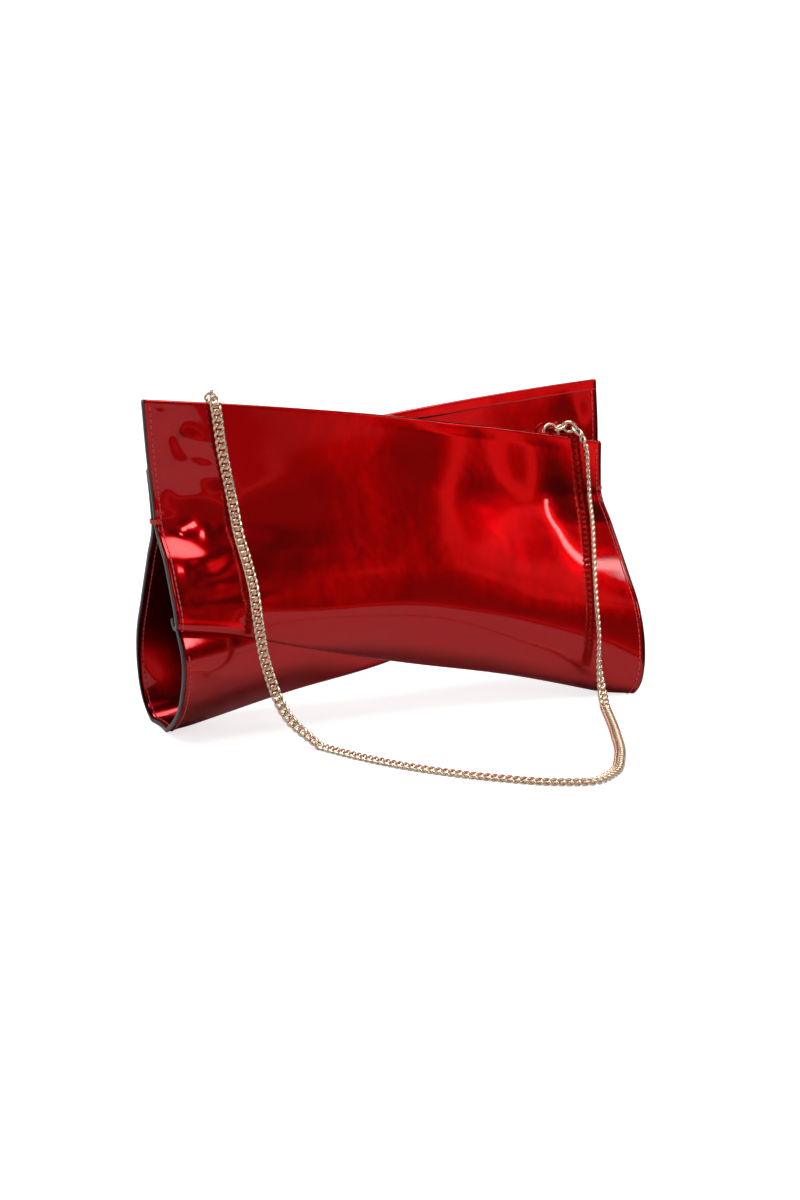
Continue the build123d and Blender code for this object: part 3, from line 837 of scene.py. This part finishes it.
def build_chain():
    left_path = [*shifted([(-98.7, 3.4, 160.0), (-97.0, 3.0, 145.0), (-92.5, 0.3, 115.0),
                           (-91.6, -4.7, 100.0), (-91.2, -12.3, 89.0), (-91.0, -20.2, 76.0),
                           (-90.8, -24.2, 62.0), (-88.0, -28.0, 38.0), (-81.0, -37.5, 14.0)])]
    left_end = LEFT_CORNER * (1, 1, 0) + UP * (ON_FLOOR + 0.2)
    left = curb_chain("left_curb_chain", [LEFT_PIVOT, *left_path, left_end],
                      [(0, -0.8, 0.6)] + [TO_CAMERA] * 8 + [(-0.3, -0.6, 0.7), (0, -0.2, 1)])
    right_path = [*shifted([(116.6, 4.8, 132.5), (117.8, 3.0, 118.0), (118.0, 1.4, 106.0),
                            (113.5, -9.0, 91.0), (107.0, -20.8, 72.0), (101.5, -31.4, 53.0),
                            (98.5, -38.8, 36.0), (97.0, -42.0, 20.0), (95.5, -47.0, 8.5)])]
    right_end = RIGHT_CORNER * (1, 1, 0) + UP * (ON_FLOOR + 0.2)
    right = curb_chain("right_curb_chain", [RIGHT_PIVOT, *right_path, right_end],
                       [(0.3, -0.8, 0.4)] + [ACROSS_CAMERA] * 7
                       + [(0.6, -0.6, 0.5), (0.2, -0.4, 0.9), (0, -0.2, 1)])
    plan = shifted([(-64.0, -64.0, 0), (-50.5, -92.0, 0), (-36.0, -113.0, 0), (-19.0, -132.0, 0),
                    (1.0, -149.0, 0), (15.5, -155.0, 0), (30.0, -149.0, 0), (47.5, -130.0, 0),
                    (68.0, -98.0, 0)])
    floor_path = [left_end, *[p + UP * ON_FLOOR for p in plan], right_end]
    floor = curb_chain("floor_curb_chain", floor_path, [UP] * len(floor_path))
    for piece, node, body in ((left, "left_chain_drop", "left_drop"),
                              (right, "right_chain_drop", "right_drop"),
                              (floor, "floor_chain_run", "floor_run")):
        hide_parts(node)
        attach(piece, body)


def oval_link(centre, way, face, half_length, half_width, wire):
    side = np.cross(face, way)
    turns = np.linspace(0, 2 * math.pi, 44, endpoint=False)
    path = np.array([centre + way * half_length * math.cos(a) * (1 + 0.06 * math.cos(2 * a))
                     + side * half_width * math.sin(a) for a in turns])
    return tube_along(path, wire, around=14, closed=True)


def connector_chain(name, path, count, size, first_face, node):
    """Plain oval links from a ring to the curb chain, each a quarter turn from the last."""
    fine = even_curve(np.array(path, float), 60)
    runs = []
    face = np.array(first_face, float)
    for i in range(count):
        k = int((i + 0.5) / count * 59)
        way = unit(fine[min(k + 3, 59)] - fine[max(k - 3, 0)])
        face = unit(face - way * np.dot(face, way))
        shown = face if i % 2 == 0 else np.cross(way, face)
        runs.append(oval_link(fine[k], way, shown, *size))
    piece = tubes(name, np.array(runs) * MM, GOLD, closed=True)
    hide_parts(node)
    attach(piece, "root")


def build_rings():
    for word in ("left", "right"):
        low, high = box_mm(f"{word}_ring")
        centre = (low + high) / 2
        radius = (high[0] - low[0]) / 2
        wire = 0.85
        turns = np.linspace(0, 2 * math.pi, 72, endpoint=False)
        path = [centre + np.array([math.cos(a) * (radius - wire),
                                   LEAN * math.sin(a) * (radius - wire),
                                   math.sin(a) * (radius - wire)]) for a in turns]
        rings = np.array(tube_along(path, wire, around=16, closed=True))
        for i in (17, 18):
            mean = rings[i].mean(axis=0)
            rings[i] = mean + (rings[i] - mean) * 0.94
        piece = tubes(f"{word}_wire_ring", [rings * MM], GOLD, closed=True)
        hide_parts(f"{word}_ring")
        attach(piece, "root")
        build_tab(word, centre, radius - wire)
    left = shifted([(-99.0, 12.7, 159.2), (-99.0, 12.7, 163.0), (-99.0, 11.2, 165.8),
                    (-99.0, 8.2, 166.9)])
    connector_chain("left_oval_links", [*left, LEFT_PIVOT], 3, (2.75, 2.1, 0.62), (1, 0, 0),
                    "left_connector_links")
    right = shifted([(103.9, 13.1, 139.9), (107.3, 13.0, 141.3), (110.9, 11.9, 141.2),
                     (113.8, 9.9, 139.9)])
    connector_chain("right_oval_links", [*right, RIGHT_PIVOT], 3, (3.6, 2.7, 0.85), (0.2, 0, 1),
                    "right_connector_links")


TAB_NECK = 1.55        # half width round the ring
TAB_FLARE = 2.8        # added below it


def build_tab(word, centre, radius):
    """A strip of leather folded round the ring's wire and sewn flat inside the panel."""
    low, _ = box_mm(f"{word}_ring_tab")
    loop = centre - np.array([0, LEAN * radius, radius])
    profile = [(a, 1.2 + 0.35 * math.sin(a / 2) ** 2) for a in np.linspace(-2.2, 2.2, 15)]
    strip = [(loop[1] + r * math.sin(a), loop[2] + r * math.cos(a)) for a, r in profile]
    tail = [(loop[1] - 1.45 - LEAN * (loop[2] - z), z)
            for z in np.linspace(loop[2] - 2.0, low[2] + 0.4, 12)]
    outer = [*strip[::-1], *tail]
    half_widths = [TAB_NECK if i < len(strip)
                   else TAB_NECK + TAB_FLARE * min((i - len(strip)) / 3, 1)
                   for i in range(len(outer))]
    grid = np.array([[(loop[0] + x * w, y, z) for w, (y, z) in zip(half_widths, outer)]
                     for x in np.linspace(-1, 1, 13)])
    loops = sheet_loop(grid, inward(grid), -0.3, 0.3)
    tab = capped_loft(f"{word}_tab_strip", loops * MM, TAB_LEATHER)
    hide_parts(f"{word}_ring_tab")
    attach(tab, "root")
    left, right = loop[0] - 3.4, loop[0] + 3.4
    top, bottom = loop[2] - 5.5, low[2] + 1.4
    corners = [(left, top), (left, bottom), (right, bottom), (right, top), (left, top)]
    threads = []
    for (x0, z0), (x1, z1) in zip(corners, corners[1:]):
        line = np.array([(x0 + (x1 - x0) * u, loop[1] - 1.1 - LEAN * (loop[2] - z0 - (z1 - z0) * u),
                          z0 + (z1 - z0) * u) for u in np.linspace(0, 1, 12)])
        runs, _ = stitch_line(line, np.tile((0.0, 1.0, 0.0), (12, 1)), pitch=2.0, radius=0.18)
        threads += runs
    stitches = tubes(f"{word}_tab_stitches", np.array(threads) * MM, THREAD)
    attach(stitches, "root")


# Stage, light and camera --------------------------------------------------------------

def build_floor():
    size = 3.0
    corners = [(-size, -size, 0), (size, -size, 0), (size, size, 0), (-size, size, 0)]
    made, nodes, links, shader = material("white_floor", (0.6, 0.6, 0.6), 0.6)
    grain = noise(nodes, links, 40, 2)
    links.new(mapped(nodes, links, grain, 0.55, 0.65), shader.inputs["Roughness"])
    shader.inputs["Specular IOR Level"].default_value = 0.1
    path = nodes.new("ShaderNodeLightPath")
    glow = nodes.new("ShaderNodeMath")
    glow.operation = "MULTIPLY"
    glow.inputs[1].default_value = 0.75
    links.new(path.outputs["Is Camera Ray"], glow.inputs[0])
    shader.inputs["Emission Color"].default_value = (1, 1, 1, 1)
    links.new(glow.outputs[0], shader.inputs["Emission Strength"])
    floor = new_mesh("floor", corners, [(0, 1, 2, 3)], made, shade_smooth=False)


# Softboxes: azimuth right of straight ahead and elevation, half width, half height and edge
# softness, all in degrees, then strength and how white the light is (0 is red)
SOFTBOXES = [
    (36, 14, 3, 18, 3, 2.2, 0.04),        # upright strip in front
    (46, 35, 9, 2, 3, 2.0, 0.06),         # its bent top
    (51, 35, 1.4, 7, 1.5, 8.0, 1.0),      # narrow bright box on the right
    (12, 12, 13, 26, 6, 0.32, 0.05),      # dim panel in front
    (-10, 36, 4, 5, 3, 9.0, 1.0),         # small boxes on the left
    (8, 52, 4, 3, 3, 8.0, 1.0),
    (28, 3, 30, 1.2, 2, 0.9, 0.1),        # low band over the floor
    (100, 12, 15, 25, 15, 0.4, 1.0),
    (-96, 20, 20, 20, 15, 1.2, 1.0),
    (0, 86, 28, 14, 10, 5.0, 1.0),        # overhead
    (178, 14, 9, 20, 6, 1.6, 1.0),        # three behind
    (148, 22, 3, 18, 3, 2.2, 1.0),
    (-146, 18, 4, 14, 4, 2.0, 1.0),
]


def build_world():
    """A white studio to the camera; to reflections, a dark room with softboxes and a dim
    wall behind."""
    world = bpy.data.worlds.new("studio")
    bpy.context.scene.world = world
    world.use_nodes = True
    nodes, links = world.node_tree.nodes, world.node_tree.links
    nodes.clear()
    where = nodes.new("ShaderNodeTexCoord").outputs["Generated"]

    def math_node(operation, a, b=None, clamp=False):
        node = nodes.new("ShaderNodeMath")
        node.operation = operation
        node.use_clamp = clamp
        for socket, value in zip(node.inputs, (a, b)):
            if value is None:
                continue
            if isinstance(value, (int, float)):
                socket.default_value = value
            else:
                links.new(value, socket)
        return node.outputs[0]

    def dot(direction):
        node = nodes.new("ShaderNodeVectorMath")
        node.operation = "DOT_PRODUCT"
        node.inputs[1].default_value = tuple(float(v) for v in direction)
        links.new(where, node.inputs[0])
        return node.outputs["Value"]

    def window(value, half, soft):
        node = nodes.new("ShaderNodeMapRange")
        node.interpolation_type = "SMOOTHSTEP"
        node.inputs["From Min"].default_value = half + soft / 2
        node.inputs["From Max"].default_value = half - soft / 2
        links.new(math_node("ABSOLUTE", value), node.inputs["Value"])
        return node.outputs["Result"]

    wall = nodes.new("ShaderNodeMapRange")
    wall.interpolation_type = "SMOOTHSTEP"
    wall.inputs["From Min"].default_value = -0.15
    wall.inputs["From Max"].default_value = 0.35
    wall.inputs["To Min"].default_value = 0.03
    wall.inputs["To Max"].default_value = 0.22
    links.new(dot((0, 1, 0)), wall.inputs["Value"])
    total = wall.outputs["Result"]
    total_white = total
    for azimuth, elevation, half_width, half_height, soft, strength, white in SOFTBOXES:
        aside, up = math.radians(azimuth), math.radians(elevation)
        centre = np.array([math.sin(aside) * math.cos(up), -math.cos(aside) * math.cos(up),
                           math.sin(up)])
        half_width, half_height, soft = [math.tan(math.radians(angle))
                                         for angle in (half_width, half_height, soft)]
        across = unit(np.cross(centre, (0, 0, 1)))
        up = np.cross(across, centre)
        ahead = math_node("MAXIMUM", dot(centre), 0.05)
        u = math_node("DIVIDE", dot(across), ahead)
        v = math_node("DIVIDE", dot(up), ahead)
        box = math_node("MULTIPLY", window(u, half_width, soft), window(v, half_height, soft))
        front = math_node("GREATER_THAN", dot(centre), 0.05)
        lit = math_node("MULTIPLY", math_node("MULTIPLY", box, front), strength)
        total = math_node("ADD", total, lit)
        total_white = math_node("ADD", total_white, math_node("MULTIPLY", lit, white))
    color = nodes.new("ShaderNodeCombineColor")
    for channel, value in zip(("Red", "Green", "Blue"), (total, total_white, total_white)):
        links.new(value, color.inputs[channel])
    path = nodes.new("ShaderNodeLightPath")
    mix = nodes.new("ShaderNodeMix")
    mix.data_type = "RGBA"
    links.new(path.outputs["Is Camera Ray"], mix.inputs["Factor"])
    links.new(color.outputs["Color"], mix.inputs["A"])
    mix.inputs["B"].default_value = (1.3, 1.3, 1.3, 1)
    background = nodes.new("ShaderNodeBackground")
    links.new(mix.outputs["Result"], background.inputs["Color"])
    output = nodes.new("ShaderNodeOutputWorld")
    links.new(background.outputs[0], output.inputs["Surface"])


def build_camera():
    back = Vector((-math.sin(CAMERA_SWING) * math.cos(CAMERA_HEIGHT),
                   -math.cos(CAMERA_SWING) * math.cos(CAMERA_HEIGHT), math.sin(CAMERA_HEIGHT)))
    aim = Vector(CAMERA_AIM) + Vector((0, MIDDLE_Y, 0))
    camera = bpy.data.objects.new("camera", bpy.data.cameras.new("camera"))
    camera.data.lens = CAMERA_LENS
    camera.data.clip_start = 0.01
    camera.location = (aim + back * CAMERA_DISTANCE) * MM
    camera.rotation_mode = "QUATERNION"
    camera.rotation_quaternion = (-back).to_track_quat("-Z", "Y")
    bpy.context.scene.collection.objects.link(camera)
    bpy.context.scene.camera = camera
    bpy.context.scene.view_settings.view_transform = "Standard"


build_panels()
build_tacks()
build_pouch()
build_seam_tape()
build_snap()
build_rings()
build_chain()
build_floor()
build_world()
build_camera()
